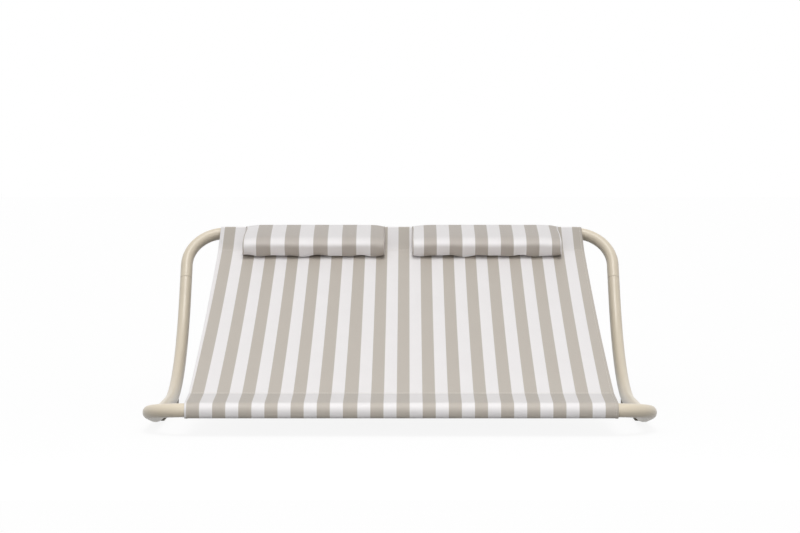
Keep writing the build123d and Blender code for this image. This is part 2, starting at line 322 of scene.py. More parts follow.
def mesh_object(name, points, faces, flat=None, corner_flats=None):
    """An object from points and faces, smooth shaded, with its flat places in metres.

    The flat places are given for each point, or in parts for each corner of the faces.
    """
    mesh = bpy.data.meshes.new(name)
    mesh.from_pydata(np.asarray(points).tolist(), [], faces)
    mesh.polygons.foreach_set("use_smooth", [True] * len(mesh.polygons))
    if flat is not None:
        corner = np.zeros(len(mesh.loops), int)
        mesh.loops.foreach_get("vertex_index", corner)
        corner_flats = [np.asarray(flat)[corner]]
    if corner_flats is not None:
        places = np.concatenate([part.ravel() for part in corner_flats])
        mesh.uv_layers.new(name="flat").data.foreach_set("uv", places.astype(np.float32))
    mesh.update()
    return add_object(name, mesh)


def quad_corners(rows, columns, order=(0, 1, 2, 3)):
    """For each quad of a grid, the row and column numbers of its corners in the given order."""
    row, column = np.divmod(np.arange(rows * columns), columns)
    turned = list(order)
    return row[:, None] + np.array([0, 0, 1, 1])[turned], column[:, None] + np.array([0, 1, 1, 0])[turned]


def grid_faces(rows, columns, first=0, turned=False):
    """The quads of a grid of points, given row by row."""
    row, column = quad_corners(rows - 1, columns - 1, (1, 2, 3, 0) if turned else (0, 3, 2, 1))
    return first + row * columns + column


def border_of(rows, columns):
    """The numbers of a grid's border points, in the order of its faces."""
    index = np.arange(rows * columns).reshape(rows, columns)
    sides = [index[:-1, 0], index[-1, :-1], index[:0:-1, -1], index[0, :0:-1]]
    return np.concatenate(sides)


def cloth_object(name, middle, normal, thickness, flat):
    """A cloth with two faces and a rounded rim, from a grid of middle points."""
    rows, columns = middle.shape[:2]
    count = rows * columns
    thickness = np.broadcast_to(thickness, (rows, columns))
    half = normal * thickness[..., None] / 2
    border = border_of(rows, columns)
    i, j = np.divmod(border, columns)
    inner_i = np.clip(i, 1, rows - 2)
    inner_j = np.clip(j, 1, columns - 2)
    outward = middle[i, j] - middle[inner_i, inner_j]
    outward /= np.maximum(np.linalg.norm(outward, axis=1, keepdims=True), 1e-9)
    rim = middle[i, j] + outward * thickness[i, j][:, None] / 2
    points = np.concatenate([(middle + half).reshape(-1, 3), (middle - half).reshape(-1, 3), rim])
    beside = np.roll(border, -1)
    rim_here = 2 * count + np.arange(len(border))
    rim_beside = np.roll(rim_here, -1)
    upper = np.stack([beside, border, rim_here, rim_beside], -1)
    lower = np.stack([rim_beside, rim_here, count + border, count + beside], -1)
    sheets = (grid_faces(rows, columns), grid_faces(rows, columns, count, turned=True))
    faces = np.concatenate([*sheets, upper, lower]).tolist()
    places = flat.reshape(-1, 2)
    return mesh_object(name, points, faces, np.concatenate([places, places, places[border]]))


def stitches_object(name, centres, directions, normals):
    """Short lengths of thread, each a slim capsule that lies half in the cloth."""
    sides = 5
    stations = np.array([-0.5, -0.36, 0.0, 0.36, 0.5]) * stitch_length
    reach = np.array([0.0, 0.85, 1.0, 0.85, 0.0]) * stitch_radius
    turns = np.arange(sides) * 2 * math.pi / sides
    template = [(stations[0], 0.0, 0.0)]
    for station, size in zip(stations[1:-1], reach[1:-1]):
        template += [(station, size * math.cos(turn), size * math.sin(turn)) for turn in turns]
    template.append((stations[-1], 0.0, 0.0))
    template = np.array(template)
    last = len(template) - 1
    faces = []
    for side in range(sides):
        beside = (side + 1) % sides
        faces.append((0, 1 + beside, 1 + side))
        for low in (1, 1 + sides):
            high = low + sides
            faces.append((low + side, low + beside, high + beside, high + side))
        top = 1 + 2 * sides
        faces.append((top + side, top + beside, last))
    across = np.cross(normals, directions)
    points = (
        centres[:, None]
        + directions[:, None] * template[None, :, :1]
        + across[:, None] * template[None, :, 1:2]
        + normals[:, None] * template[None, :, 2:3]
    )
    total = len(centres) * len(template)
    firsts = range(0, total, len(template))
    every = [[first + corner for corner in face] for first in firsts for face in faces]
    return mesh_object(name, points.reshape(-1, 3), every, np.zeros((total, 2)))


# Node materials


class Tree:
    """The node tree of a material or of the world, with short calls for the nodes used here."""

    def __init__(self, owner):
        owner.use_nodes = True
        self.tree = owner.node_tree
        self.tree.nodes.clear()

    def node(self, kind, inputs=None, **settings):
        """A node with its settings, and its inputs by name or number."""
        made = self.tree.nodes.new("ShaderNode" + kind)
        for key, value in settings.items():
            setattr(made, key, value)
        for key, value in (inputs or {}).items():
            self.put(made.inputs[key], value)
        return made

    def put(self, socket, value):
        """A number, a colour or another node's output into a socket."""
        if isinstance(value, bpy.types.NodeSocket):
            self.tree.links.new(value, socket)
        else:
            socket.default_value = value

    def end(self, kind, shader):
        """The tree's output."""
        self.node(kind, {"Surface": shader})

    def math(self, operation, first, second=0.0, clamp=False):
        return self.node("Math", {0: first, 1: second}, operation=operation, use_clamp=clamp).outputs[0]

    def product(self, first, second):
        return self.math("MULTIPLY", first, second)

    def minus(self, first, second, clamp=False):
        return self.math("SUBTRACT", first, second, clamp)

    def split(self, place):
        return self.node("SeparateXYZ", {0: place}).outputs

    def between(self, value, low, high):
        """A value from 0 to 1 brought to a range."""
        return self.node("MapRange", {"Value": value, "To Min": low, "To Max": high}).outputs["Result"]

    def either(self, share, first, second):
        """Two shaders, mixed by a share."""
        return self.node("MixShader", {0: share, 1: first, 2: second}).outputs[0]

    def seen(self):
        """1 for rays that see the surroundings: from the camera, a gloss or glass."""
        path = self.node("LightPath").outputs
        most = self.math("MAXIMUM", path["Is Camera Ray"], path["Is Glossy Ray"])
        return self.math("MAXIMUM", most, path["Is Transmission Ray"])


class Finish(Tree):
    """A material with one principled shader."""

    def __init__(self, name):
        self.material = bpy.data.materials.new(name)
        super().__init__(self.material)
        self.shader = self.node("BsdfPrincipled")
        self.end("OutputMaterial", self.shader.outputs[0])

    def object_place(self):
        return self.node("TexCoord").outputs["Object"]

    def combine(self, x, y):
        return self.node("CombineXYZ", {0: x, 1: y}).outputs[0]

    def noise(self, place, scale, detail=2.0):
        return self.node("TexNoise", {"Vector": place, "Scale": scale, "Detail": detail}).outputs["Fac"]

    def rise(self, value, start, end):
        """0 before the start and 1 after the end, smooth between."""
        inputs = {"Value": value, "From Min": start, "From Max": end}
        return self.node("MapRange", inputs, interpolation_type="SMOOTHSTEP").outputs["Result"]

    def mix(self, share, first, second):
        return self.node("Mix", {0: share, 6: first, 7: second}, data_type="RGBA").outputs[2]

    def times(self, colour, factor):
        """A colour made lighter or darker by a number."""
        vector = colour if isinstance(colour, bpy.types.NodeSocket) else colour[:3]
        return self.node("VectorMath", {0: vector, "Scale": factor}, operation="SCALE").outputs[0]

    def bump(self, height, distance, strength, before=None):
        inputs = {"Strength": strength, "Distance": distance, "Height": height}
        if before is not None:
            inputs["Normal"] = before
        return self.node("Bump", inputs).outputs[0]

    def finish(self, colour, roughness, normal, metal=0.0, gloss=0.5, sheen=0.0):
        values = {
            "Base Color": colour,
            "Roughness": roughness,
            "Normal": normal,
            "Metallic": metal,
            "Specular IOR Level": gloss,
        }
        if sheen:
            values.update({"Sheen Weight": sheen, "Sheen Roughness": 0.4})
        for key, value in values.items():
            self.put(self.shader.inputs[key], value)
        return self.material


def linear(*screen):
    """A screen colour from 0 to 255 as the linear colour that shaders take."""
    shares = (part / 255 for part in screen)
    return (*(s / 12.92 if s <= 0.04045 else ((s + 0.055) / 1.055) ** 2.4 for s in shares), 1.0)


white_yarn = linear(235, 232, 232)
taupe_yarn = linear(186, 178, 168)
pillow_taupe_yarn = linear(184, 176, 168)
thread_white = linear(226, 221, 214)
beige_coat = linear(224, 212, 191)
zinc_grey = linear(188, 188, 186)
steel_grey = linear(150, 150, 149)
plastic_beige = linear(150, 142, 125)


def weave(nodes, across, along):
    """Height of a plain weave, and a slight unevenness of its yarns."""
    turn = 2 * math.pi / yarn_pitch
    yarn_draw = 40.0
    yarn_scale = 30.0
    height = nodes.product(
        nodes.math("SINE", nodes.product(across, turn)), nodes.math("SINE", nodes.product(along, turn))
    )
    warp = nodes.noise(nodes.combine(nodes.product(across, yarn_draw), along), yarn_scale)
    weft = nodes.noise(nodes.combine(across, nodes.product(along, yarn_draw)), yarn_scale)
    return height, nodes.math("ADD", warp, weft)


def striped_cloth(name, start, pitch, first_white, doubled=(), ridge_at=None):
    """Woven cloth with equal white and taupe stripes.

    It has painted shade where it lies double, and a painted highlight along a pillow's ridge with painted
    shade on its top and front.
    """
    nodes = Finish(name)
    across, along, _ = nodes.split(nodes.node("UVMap", uv_map="flat").outputs[0])
    wave = nodes.math("SINE", nodes.product(nodes.minus(across, start), math.pi / pitch))
    steepness = pitch / (math.pi * stripe_blur) * (1 if first_white else -1)
    share = nodes.math("ADD", nodes.product(wave, steepness), 0.5, clamp=True)
    height, yarns = weave(nodes, across, along)
    colour = nodes.mix(share, taupe_yarn if ridge_at is None else pillow_taupe_yarn, white_yarn)
    uneven = nodes.between(nodes.product(yarns, 0.5), *yarn_shades)
    cloud = nodes.noise(nodes.object_place(), 9.0, 3.0)
    worn = nodes.product(uneven, nodes.between(cloud, *cloud_shades))
    # painted shade in the hollows of the weave, lighter on the yarns' crowns
    weave_hollow_shade = nodes.between(nodes.math("ADD", nodes.product(height, 0.5), 0.5), *weave_hollow_shades)
    shade = nodes.product(worn, weave_hollow_shade)
    # painted highlight along the pillow's ridge, fading to painted shade on its front and top
    if ridge_at is not None:
        over = nodes.rise(along, *(ridge_at + reach for reach in highlight_front_band))
        back = nodes.rise(along, *(ridge_at + reach for reach in highlight_back_band))
        front_painted_light = nodes.between(over, pillow_front_painted_shade, pillow_ridge_painted_highlight)
        top_painted_shade = nodes.between(back, 1.0, pillow_top_painted_shade / pillow_ridge_painted_highlight)
        shade = nodes.product(shade, nodes.product(front_painted_light, top_painted_shade))
    # painted shade over the sleeves, where the cloth lies double
    for first, last, first_blend, last_blend, band_painted_shade in doubled:
        begun = nodes.rise(along, first - first_blend, first + first_blend)
        ended = nodes.rise(along, last - last_blend, last + last_blend)
        inside = nodes.product(begun, nodes.minus(1.0, ended))
        shade = nodes.product(shade, nodes.between(inside, 1.0, band_painted_shade))
    normal = nodes.bump(height, 0.00010, 0.5)
    return nodes.finish(nodes.times(colour, shade), nodes.between(yarns, 0.40, 0.50), normal, sheen=0.05)


def grained(name, colour, cloud, grain, bump, roughness, **look):
    """A tinted surface, such as thread, steel or plastic.

    The cloud is a noise's scale and its two shades. The grain is a finer noise, and the bump its
    depth and strength. A roughness of two values follows the grain.
    """
    nodes = Finish(name)
    place = nodes.object_place()
    cloud_scale, *shades = cloud
    tint = nodes.times(colour, nodes.between(nodes.noise(place, cloud_scale), *shades))
    fine = nodes.noise(place, *grain)
    if isinstance(roughness, tuple):
        roughness = nodes.between(fine, *roughness)
    return nodes.finish(tint, roughness, nodes.bump(fine, *bump), **look)


def powder_coat():
    """Beige powder coat with a fine orange peel, and a dark line where the leg tubes meet."""
    nodes = Finish("powder_coat")
    place = nodes.object_place()
    fine = nodes.noise(place, 1500.0)
    broad = nodes.noise(place, 14.0, 3.0)
    split = nodes.split(place)
    along_y, along_z = (
        nodes.product(nodes.minus(split[axis], float(leg_seam[axis])), float(leg_down[axis]))
        for axis in (1, 2)
    )
    distance = nodes.math("ABSOLUTE", nodes.math("ADD", along_y, along_z))
    seam = nodes.minus(1.0, nodes.math("DIVIDE", distance, seam_half), clamp=True)
    darkened = nodes.minus(1.0, nodes.product(seam, seam_darkness))
    colour = nodes.times(beige_coat, nodes.product(nodes.between(broad, 0.985, 1.015), darkened))
    peel = nodes.bump(fine, 0.00006, 0.35)
    normal = nodes.bump(nodes.product(seam, -1.0), 0.0006, 0.8, before=peel)
    return nodes.finish(colour, nodes.between(fine, 0.28, 0.36), normal)


def dress(obj, material):
    """A piece's one material."""
    obj.data.materials.clear()
    obj.data.materials.append(material)


thread = grained(
    "thread",
    thread_white,
    cloud=(900.0, 0.92, 1.05),
    grain=(2500.0,),
    bump=(0.00005, 0.4),
    roughness=0.6,
    gloss=0.35,
    sheen=0.1,
)
steel = dict(cloud=(60.0, 0.93, 1.05), grain=(600.0, 3.0), bump=(0.00003, 0.3), metal=1.0)
plated = grained("fastener_steel", zinc_grey, roughness=(0.24, 0.36), **steel)
drawn = grained("spigot_steel", steel_grey, roughness=(0.32, 0.5), **steel)
plastic = grained(
    "glide_plastic",
    plastic_beige,
    cloud=(50.0, 0.96, 1.02),
    grain=(2200.0,),
    bump=(0.00004, 0.4),
    roughness=(0.48, 0.6),
    gloss=0.08,
)
finishes = (
    (powder_coat(), "powder_coated_tube", "head_tube rail_left rail_right foot_bar"),
    (drawn, "spigot_steel", "head_spigot_left head_spigot_right foot_spigot_left foot_spigot_right"),
    (plated, "fastener_steel", "leg_joint_screws leg_rivet_nuts foot_spring_buttons"),
    (plastic, "glide_plastic", "glide_front_left glide_front_right glide_rear_left glide_rear_right"),
    (drawn, "weight_steel", "weight_bar_left weight_bar_right"),
)
for material, slot_name, dressed in finishes:
    for node in dressed.split():
        dress(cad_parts[node], material)


# Lines and places


def tangent_angle(radius, tip, side):
    """Where a line from a tip touches a circle round the origin, as an angle."""
    return math.atan2(tip[1], tip[0]) + side * math.acos(radius / math.hypot(*tip))


def on_circle(radius, turns):
    return np.stack([radius * np.cos(turns), radius * np.sin(turns)], -1)


def bowed(start, end, bow, count):
    """Points of a shallow arc from start to end, without its last; bow is to its left."""
    start, end = np.asarray(start), np.asarray(end)
    share = np.arange(count)[:, None] / count
    step = end - start
    left = unit(np.array([-step[1], step[0]]))
    return start + step * share + left * bow * 4 * share * (1 - share)


def stretch(start, end, step):
    """Points of a straight run at about this step, without its last."""
    return bowed(start, end, 0, max(2, math.ceil(math.dist(start, end) / step)))


def lengths_along(points):
    """The length along a line up to each of its points."""
    return np.concatenate([[0], np.cumsum(np.linalg.norm(np.diff(points, axis=0), axis=1))])


def on_loop(places):
    """Which places lie on the sleeve's loop round a bar at the origin."""
    return np.abs(np.hypot(places[:, 0], places[:, 1]) - loop_radius) < 1e-6


def waves(place, shift, table):
    """A sum of waves, each with its size, its rate, its start and its share of the shift."""
    return sum(size * np.sin(place * rate + start + share * shift) for size, rate, start, share in table)


def pressed(distance, depth, width):
    """The depth of a groove at a distance from its middle."""
    return depth * np.exp(-((distance / width) ** 2))


def columns_across(edge, width, count):
    """Places across a cloth, close together at its side edges and even between."""
    inner = np.linspace(edge[-1], width - edge[-1], count)[1:-1]
    return np.concatenate([edge, inner, width - edge[::-1]])


def hem_at(across, width):
    """The distance from a cloth's nearer side edge, and 1 where its hem lies double."""
    edge = np.minimum(across, width - across)
    return edge, smooth_step((hem_width + hem_blend - edge) / (2 * hem_blend))


# Sling

sheet_tip = np.array([stitch_distance, float(sheet_height(stitch_distance))])
sleeve_turn = tangent_angle(loop_radius, sheet_tip, 1)


def half_route():
    """The cloth's line from the hem under the head sleeve round the bar to mid sheet."""
    low_tip = sheet_tip - (0, layer_gap)
    hem_end = stitch_distance + sleeve_hem
    hem = (hem_end, float(sheet_height(hem_end)) - layer_gap)
    first = tangent_angle(loop_radius, low_tip, -1) + 2 * math.pi
    round_bar = on_circle(loop_radius, np.linspace(first, sleeve_turn, loop_points))
    to_bar = round_bar[-1] - sheet_tip
    before = sheet_tip + to_bar * fold_reach / np.linalg.norm(to_bar)
    after_along = stitch_distance + fold_reach
    after = np.array([after_along, float(sheet_height(after_along))])
    share = np.linspace(0, 1, fold_points)[:-1, None]
    fold = (1 - share) ** 2 * before + 2 * share * (1 - share) * sheet_tip + share ** 2 * after
    along = np.linspace(after_along, bar_distance / 2, half_sheet_points)
    sheet = np.stack([along, sheet_height(along)], -1)
    return np.concatenate(
        [
            stretch(hem, low_tip, 0.0035),
            stretch(low_tip, round_bar[0], 0.010),
            round_bar[:-1],
            stretch(round_bar[-1], before, 0.008),
            fold,
            sheet,
        ]
    )


def with_slack(line):
    """The foot sleeve's line, standing a little off the bar at its lower front."""
    away = line - (bar_distance, 0)
    turn = np.arctan2(away[:, 1], away[:, 0])
    reach = 1 + on_loop(away) * sleeve_slack * np.exp(-(((turn - slack_turn) / slack_spread) ** 2))
    return (bar_distance, 0) + away * reach[:, None]


def whole_route():
    """The cloth's line from hem to hem, its outward normals, and the length along it."""
    half = half_route()
    other = half[-2::-1].copy()
    other[:, 0] = bar_distance - other[:, 0]
    line = np.concatenate([half, with_slack(other)])
    step = unit(np.gradient(line, axis=0))
    normal = np.stack([-step[:, 1], step[:, 0]], -1)
    return line, normal, lengths_along(line)


route, route_normal, route_length = whole_route()
sling_length = float(route_length[-1])


def length_at(along):
    """The length along the route where it is this far down the sling, on the sheet's upper side."""
    upper = np.flatnonzero(route_normal[:, 1] > 0.5)
    rising = upper[(route[upper, 0] > stitch_distance / 2) & (route[upper, 0] < bar_distance)]
    return float(np.interp(along, route[rising, 0], route_length[rising]))


head_tip_length = length_at(stitch_distance)
foot_tip_length = length_at(bar_distance - stitch_distance)
sleeve_rows = (
    head_tip_length,
    head_tip_length + row_spacing,
    foot_tip_length - row_spacing,
    foot_tip_length,
)


def bend_shift(x, along):
    """How the sleeves follow the tube where it starts to bend at the sling's edges."""
    over = np.maximum(np.abs(x) - bend_start, 0)
    offset = corner_radius - np.sqrt(corner_radius ** 2 - over ** 2)
    head_share = np.clip(1 - along / stitch_distance, 0, 1)
    foot_share = np.clip(1 - (bar_distance - along) / stitch_distance, 0, 1)
    return (offset * head_share)[..., None] * leg_down + (offset * foot_share)[..., None] * run_back


def stripe_drift(x, along):
    """How far the woven stripes lie aside of an even pattern."""
    from_middle = along - drift_middle
    left = drift_left + drift_left_slope * from_middle
    right = drift_right + drift_right_slope * from_middle
    return left + (right - left) * risen(x, wide_stripe_start, wide_stripe_width)


def cloth_ripple(across, length):
    """Slight unevenness of the stretched cloth, gone at the sleeves."""
    share = np.clip(length / sling_length, 0, 1)
    return ripple_height * np.sin(math.pi * share) ** 2 * waves(across, share, ripple_waves)


def sling_at(across, length):
    """Middle point, outward normal and thickness of the sling at flat places."""
    across, length = np.broadcast_arrays(across, length)
    along, above, out_along, out_above = (
        np.interp(length, route_length, values) for values in (*route.T, *route_normal.T)
    )
    size = np.hypot(out_along, out_above)
    out_along, out_above = out_along / size, out_above / size
    edge, doubled = hem_at(across, sling_width)
    thickness = cloth_thickness + (hem_thickness - cloth_thickness) * doubled
    lift = doubled * (hem_thickness - cloth_thickness) / 2
    lift = lift - pressed(edge - hem_row, groove_depth, groove_width) + cloth_ripple(across, length)
    for tip in sleeve_rows:
        lift = lift - pressed(length - tip, row_depth, row_width)
    x = sling_left + across
    along = along + out_along * lift
    above = above + out_above * lift
    points = in_place(along, above, x) + bend_shift(x, along)
    normal = out_along[..., None] * down + out_above[..., None] * up
    return points, normal, thickness


def build_sling():
    """The sling: one striped cloth with a sleeve round each bar."""
    edge = np.array([0.0, 0.8, 1.8, 3.2, 4.8, 5.8, 6.8, 7.8, 8.8, 10.5, 14.0]) * millimetre
    across = columns_across(edge, sling_width, sling_columns)[None, :]
    points, normal, thickness = sling_at(across, route_length[:, None])
    flat = np.stack(np.broadcast_arrays(across, route_length[:, None]), -1).copy()
    flat[..., 0] -= stripe_drift(sling_left + across, route[:, :1])
    cloth = cloth_object("sling_cloth", points, normal, thickness, flat)
    leaves = float(route_length[np.flatnonzero(on_loop(route))[-1]])
    head_blends = (painted_shade_blend, painted_shade_blend_head)
    foot_blends = (painted_shade_blend, painted_shade_blend)
    # bands of painted shade over the sleeves
    doubled = (
        (leaves, head_tip_length, *head_blends, sleeve_painted_shade_head),
        (foot_tip_length, sling_length - leaves, *foot_blends, sleeve_painted_shade_foot),
    )
    stripes = striped_cloth("sling_stripes", hem_width, stripe_pitch, False, doubled)
    dress(cloth, stripes)
    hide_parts("sling")
    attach(cloth, "frame")
    return cloth


def sling_stitches():
    """Two rows across each sleeve's seam, above and below, and one row down each side hem."""
    rows = []
    step = 1e-4

    def add_row(across, length, step_across, step_along):
        points, normal, thickness = sling_at(across, length)
        direction = unit(sling_at(across + step_across, length + step_along)[0] - points)
        rows.append((points + normal * (thickness / 2)[:, None], direction, normal))

    across = np.arange(hem_row, sling_width - hem_row, stitch_pitch)
    far = sling_length - row_inset
    under = (row_inset, row_inset + row_spacing, far, far - row_spacing)
    for length in (*sleeve_rows, *under):
        add_row(across, np.full(len(across), length), step, 0)
    length = np.arange(sleeve_hem, sling_length - sleeve_hem, stitch_pitch)
    for side in (hem_row, sling_width - hem_row):
        add_row(np.full(len(length), side), length, 0, step)
    made = stitches_object("sling_stitching", *(np.concatenate(part) for part in zip(*rows)))
    dress(made, thread)
    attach(made, "frame")
    return made


sling = build_sling()
stitching = sling_stitches()


# Pillows

sleeve_top = on_circle(loop_radius, np.array(sleeve_turn))
sleeve_fall = (sheet_tip[1] - sleeve_top[1]) / (sheet_tip[0] - sleeve_top[0])


def seat_height(along):
    """The height of the cloth's upper face that a pillow lies on."""
    along = np.asarray(along)
    over_sleeve = sleeve_top[1] + sleeve_fall * (along - sleeve_top[0])
    return np.where(along >= stitch_distance, sheet_height(along), over_sleeve) + cloth_thickness / 2


def in_section(points):
    """How far points lie down the sling from the head bar, and above the line between the bars."""
    away = points - head_centre
    return away @ down, away @ up


def crowned(ridge, brow, crown, count):
    """Points from the ridge to the brow over a crown that lies near the ridge, without the last."""
    line = bowed(ridge, brow, 0, count)
    share = np.arange(count) / count
    near = 1 - (1 - np.minimum(share / crown_place, 1)) ** 2
    far = np.clip((share - crown_place) / (1 - crown_place), 0, 1) ** crown_fall_power
    step = np.subtract(brow, ridge)
    out = unit(np.array([step[1], -step[0]]))
    return line + out * (crown * (near - far))[:, None]


def pillow_section(end_share, inset):
    """A closed section: underside, front, top and back, with soft corners."""
    upper_end = pillow_upper_end + pillow_draw * end_share + inset
    lower_end = pillow_lower_end - (front_end_draw * end_share + inset)
    crown = pillow_crown * (1 - (1 - end_crown_share) * end_share)
    base, foot = (float(seat_height(end)) + seat_gap for end in (upper_end, lower_end))
    gusset = pillow_gusset_height - inset - pillow_draw * end_share / 2
    ridge = (lower_end + pillow_overhang, foot + gusset)
    brow_fall = brow_end_draw * end_share ** brow_fall_power
    brow = (upper_end - pillow_lean, pillow_upper_height - inset - brow_fall)
    seam_along = lower_end + pillow_seam_forward
    seam = (seam_along, float(seat_height(seam_along)) + seat_gap + pillow_seam_rise)
    contact = lower_end - pillow_contact_back
    under = bowed((upper_end, base), seam, 0, along_cells)
    lifted = np.clip((under[:, 0] - contact) / (seam_along - contact), 0, 1) ** seam_rise_power
    under[:, 1] = seat_height(under[:, 0]) + seat_gap + pillow_seam_rise * lifted
    loop = np.concatenate(
        [
            under,
            bowed(seam, ridge, -pillow_lower_bulge, height_cells),
            crowned(ridge, brow, crown, along_cells),
            bowed(brow, (upper_end, base), -pillow_upper_bulge, height_cells),
        ]
    )
    near_ridge = np.exp(-(((np.arange(len(loop)) - ridge_number) / ridge_softness) ** 2))[:, None]
    for turn in range(smoothing_turns):
        share = 1.0 if turn < even_turns else near_ridge
        loop = loop + share * (np.roll(loop, 1, 0) - 2 * loop + np.roll(loop, -1, 0)) / 4
    return loop


def coons_cap(ring):
    """Points that fill a pillow's end, from the ring's four sides, and how far each may swell."""
    n, m = along_cells, height_cells
    ring = np.concatenate([ring, ring[:1]])
    low = ring[: n + 1]
    front = ring[n : n + m + 1]
    high = ring[n + m : 2 * n + m + 1][::-1]
    back = ring[2 * n + m :][::-1]
    s = (np.arange(n + 1) / n)[None, :, None]
    t = (np.arange(m + 1) / m)[:, None, None]
    patch = (
        (1 - t) * low[None]
        + t * high[None]
        + (1 - s) * back[:, None]
        + s * front[:, None]
        - (1 - s) * (1 - t) * low[0]
        - s * (1 - t) * low[-1]
        - (1 - s) * t * high[0]
        - s * t * high[-1]
    )
    return patch, (16 * s * (1 - s) * t * (1 - t)) ** 0.5


def cap_numbers(ring_first, inner_first):
    """The numbers of a cap's points: its border is the ring, and its inner points are its own."""
    numbers = np.zeros((height_cells + 1, along_cells + 1), int)
    numbers[0] = ring_first + np.arange(along_cells + 1)
    numbers[:, -1] = ring_first + along_cells + np.arange(height_cells + 1)
    numbers[-1] = ring_first + along_cells + ridge_number - np.arange(along_cells + 1)
    numbers[:, 0] = ring_first + (ring_size - np.arange(height_cells + 1)) % ring_size
    inner = numbers[1:-1, 1:-1]
    inner[:] = inner_first + np.arange(inner.size).reshape(inner.shape)
    return numbers


def end_lean(loop, amount):
    """How far an end's points lean inwards: most at the top of the end's back."""
    back = 1 - risen(loop[:, 0], pillow_upper_end, lean_reach)
    high = smooth_step((loop[:, 1] - seat_height(loop[:, 0])) / lean_height)
    return amount * (lean_least + (1 - lean_least) * back) * high


def pillow_mesh(name, left, width, leans):
    """A closed pillow of quads with its flat places, the number of its rings and its ridge's place."""
    stations = 2 * round(width / station_spacing) + 1
    half = width / 2 - pillow_inset
    even = np.linspace(-1, 1, stations)
    rings = []
    for place in station_gathering * np.sin(even * math.pi / 2) + (1 - station_gathering) * even:
        loop = pillow_section(abs(place) ** end_draw_power, pillow_inset)
        lean = end_lean(loop, leans[int(place > 0)]) * abs(place) ** end_lean_power * np.sign(place)
        rings.append(in_place(loop[:, 0], loop[:, 1], left + width / 2 + half * place - lean))
    points = np.concatenate(rings)
    around = lengths_along(np.concatenate([rings[0], rings[0][:1]]))
    ring, side = quad_corners(stations - 1, ring_size)
    faces = (ring * ring_size + side % ring_size).tolist()
    flats = [np.stack([points[ring * ring_size, 0] - left, around[side]], -1)]
    for end, outward in ((0, -1), (stations - 1, 1)):
        patch, swell = coons_cap(rings[end])
        patch[..., 0] += outward * end_bulge * swell[..., 0]
        numbers = cap_numbers(end * ring_size, len(points))
        points = np.concatenate([points, patch[1:-1, 1:-1].reshape(-1, 3)])
        row, column = quad_corners(height_cells, along_cells, (0, 1, 2, 3)[::-outward])
        faces += numbers[row, column].tolist()
        edge = end_flat_inset if outward < 0 else width - end_flat_inset
        flats.append(np.stack([edge - outward * end_flat_rise * row, cell_flat * column], -1))
    return mesh_object(name, points, faces, corner_flats=flats), stations, float(around[ridge_number])


def simulate(piece, held_numbers, stations):
    """Blows the pillow up like a filled cover, and keeps each point within a reach of its start."""
    rest = np.array([v.co for v in piece.data.vertices])
    group = piece.vertex_groups.new(name="held")
    group.add(held_numbers.tolist(), 1.0, "REPLACE")
    cloth = piece.modifiers.new("filling", "CLOTH")
    for key, value in filling_settings.items():
        setattr(cloth.settings, key, value)
    cloth.settings.effector_weights.gravity = 0
    cloth.collision_settings.use_collision = False
    cloth.point_cache.frame_start = 1
    cloth.point_cache.frame_end = filling_frames
    for number in range(1, filling_frames + 1):
        bpy.context.scene.frame_set(number)
    depsgraph = bpy.context.evaluated_depsgraph_get()
    blown = piece.evaluated_get(depsgraph).to_mesh()
    moved = np.array([v.co for v in blown.vertices]) - rest
    piece.evaluated_get(depsgraph).to_mesh_clear()
    piece.modifiers.remove(cloth)
    piece.vertex_groups.remove(group)
    bpy.context.scene.frame_set(1)
    moved[:, 0] *= sideways_share
    far = np.linalg.norm(moved, axis=1, keepdims=True)
    moved *= np.tanh(far / filling_reach) * filling_reach / np.maximum(far, 1e-9)
    grid = moved[: stations * ring_size].reshape(stations, ring_size, 3)
    for _ in range(smoothing_rounds):
        grid[:] = (np.roll(grid, 1, 1) + 2 * grid + np.roll(grid, -1, 1)) / 4
        grid[1:-1] = (grid[:-2] + 2 * grid[1:-1] + grid[2:]) / 4
    moved[held_numbers] = 0
    return rest + moved


def keep_on_seat(points):
    """Points lifted where they would sink into the cloth under the pillow."""
    along, above = in_section(points)
    over = above - (seat_height(along) + seat_gap)
    inside = (along > 0) & (over < 0)
    points = points.copy()
    points[inside] -= np.outer(over[inside], up)
    return points


def soft_unevenness(points, centre_x, phase):
    """Small waves of the lower front edge and dents along the ridge, as loose filling makes."""
    along, above = in_section(points)
    x = points[:, 0] - centre_x
    height = above - seat_height(along)
    front = risen(along, *front_band)
    low = 1 - risen(height, *low_band)
    high = risen(height, *high_band)
    dents = waves(x, phase, ridge_waves) * high
    shift = np.outer(edge_wave_height * waves(x, phase, edge_waves) * front * low, up + 0.4 * down)
    shift += np.outer(ridge_wave_reach * dents * front, up + down)
    shift += np.outer(top_wave_height * dents * (1 - front), up)
    return points + shift


def cord_points(line, radius, out, aside):
    """Rings of points round a line, from two directions across it."""
    turns = (np.arange(cord_sides) * 2 * math.pi / cord_sides)[:, None]
    rings = line[:, None] + radius * np.cos(turns) * out[..., None, :] + radius * np.sin(turns) * aside
    return rings.reshape(-1, 3)


